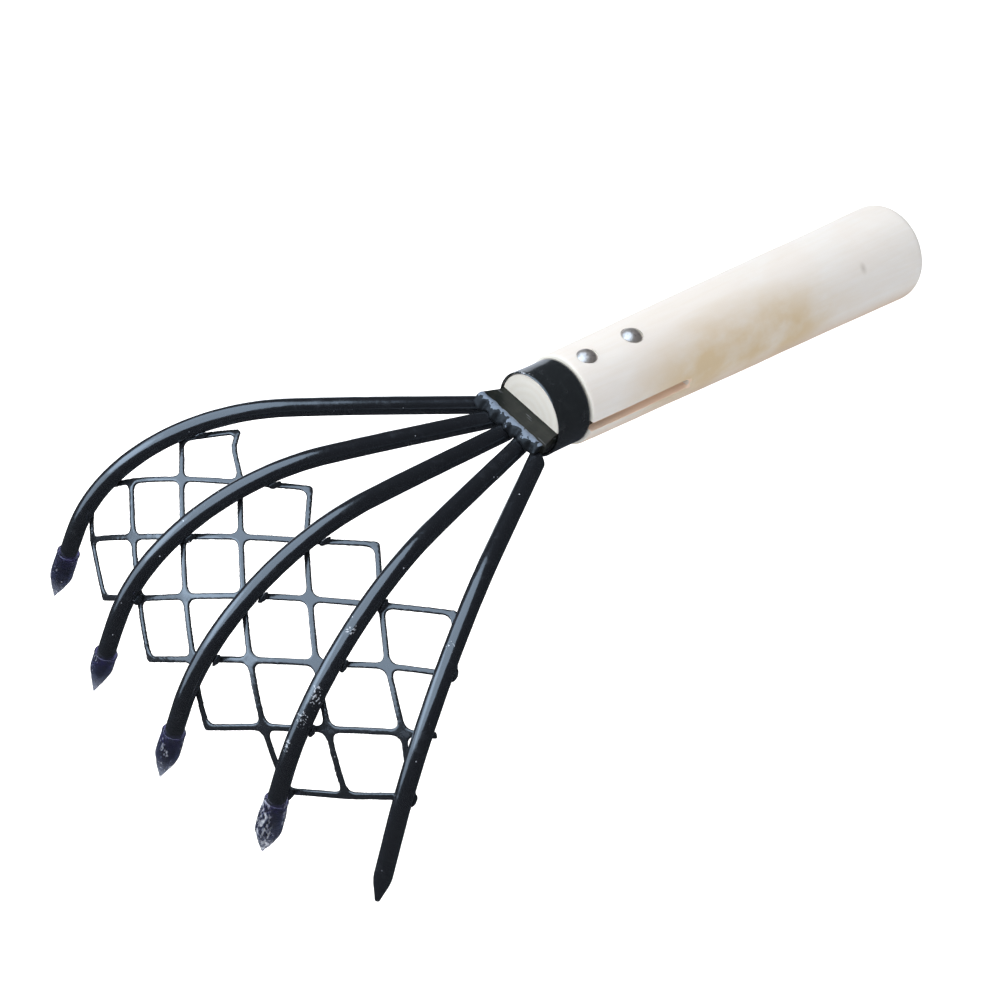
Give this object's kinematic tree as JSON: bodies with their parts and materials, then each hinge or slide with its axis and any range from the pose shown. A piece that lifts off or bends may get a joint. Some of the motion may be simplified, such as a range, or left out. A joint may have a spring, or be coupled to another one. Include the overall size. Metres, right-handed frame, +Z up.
{
  "type": "hand rake",
  "caption": "Short hand rake with a turned wooden grip, fanned round tines bent down at the ends, a wire net under the tines and pull-off tip guards.",
  "frame": {"origin": "centre of the rake's bounding box at the level it stands on", "axes": "+Z up, +Y towards the handle's butt, +X to the right seen from the butt; the rake stands on its tine ends and the butt's lower edge"},
  "size_m": [0.1704, 0.3422, 0.079],
  "materials": {
    "handle_wood": "sanded, unvarnished, faint tan stains",
    "black_paint": "gloss black paint with small chips",
    "rivet_steel": "bright, lightly dulled",
    "weld_paint": "gloss paint over rough weld metal",
    "net_paint": "gloss black paint",
    "guard_plastic": "clear violet, thin"
  },
  "bodies": {
    "rake": {"ferrule": "black_paint", "handle": "handle_wood", "net": "net_paint", "net_weld_01": "weld_paint", "net_weld_02": "weld_paint", "net_weld_03": "weld_paint", "net_weld_04": "weld_paint", "net_weld_05": "weld_paint", "net_weld_06": "weld_paint", "net_weld_07": "weld_paint", "net_weld_08": "weld_paint", "net_weld_09": "weld_paint", "net_weld_10": "weld_paint", "net_weld_11": "weld_paint", "net_weld_12": "weld_paint", "net_weld_13": "weld_paint", "rivet_front": "rivet_steel", "rivet_rear": "rivet_steel", "root_weld": "weld_paint", "tang_plate": "black_paint", "tine_1": "black_paint", "tine_2": "black_paint", "tine_3": "black_paint", "tine_4": "black_paint", "tine_5": "black_paint"},
    "tip_guard_1": {"tip_guard_1": "guard_plastic"},
    "tip_guard_2": {"tip_guard_2": "guard_plastic"},
    "tip_guard_3": {"tip_guard_3": "guard_plastic"},
    "tip_guard_4": {"tip_guard_4": "guard_plastic"}
  },
  "joints": [
    {"name": "tip_guard_1_pull", "type": "slide", "parent": "rake", "child": "tip_guard_1", "axis": [-0.1083, -0.4153, -0.9032], "range_m": [0, 0.02]},
    {"name": "tip_guard_2_pull", "type": "slide", "parent": "rake", "child": "tip_guard_2", "axis": [-0.057, -0.4371, -0.8976], "range_m": [0, 0.02]},
    {"name": "tip_guard_3_pull", "type": "slide", "parent": "rake", "child": "tip_guard_3", "axis": [0, -0.4448, -0.8956], "range_m": [0, 0.02]},
    {"name": "tip_guard_4_pull", "type": "slide", "parent": "rake", "child": "tip_guard_4", "axis": [0.057, -0.4371, -0.8976], "range_m": [0, 0.02]}
  ]
}
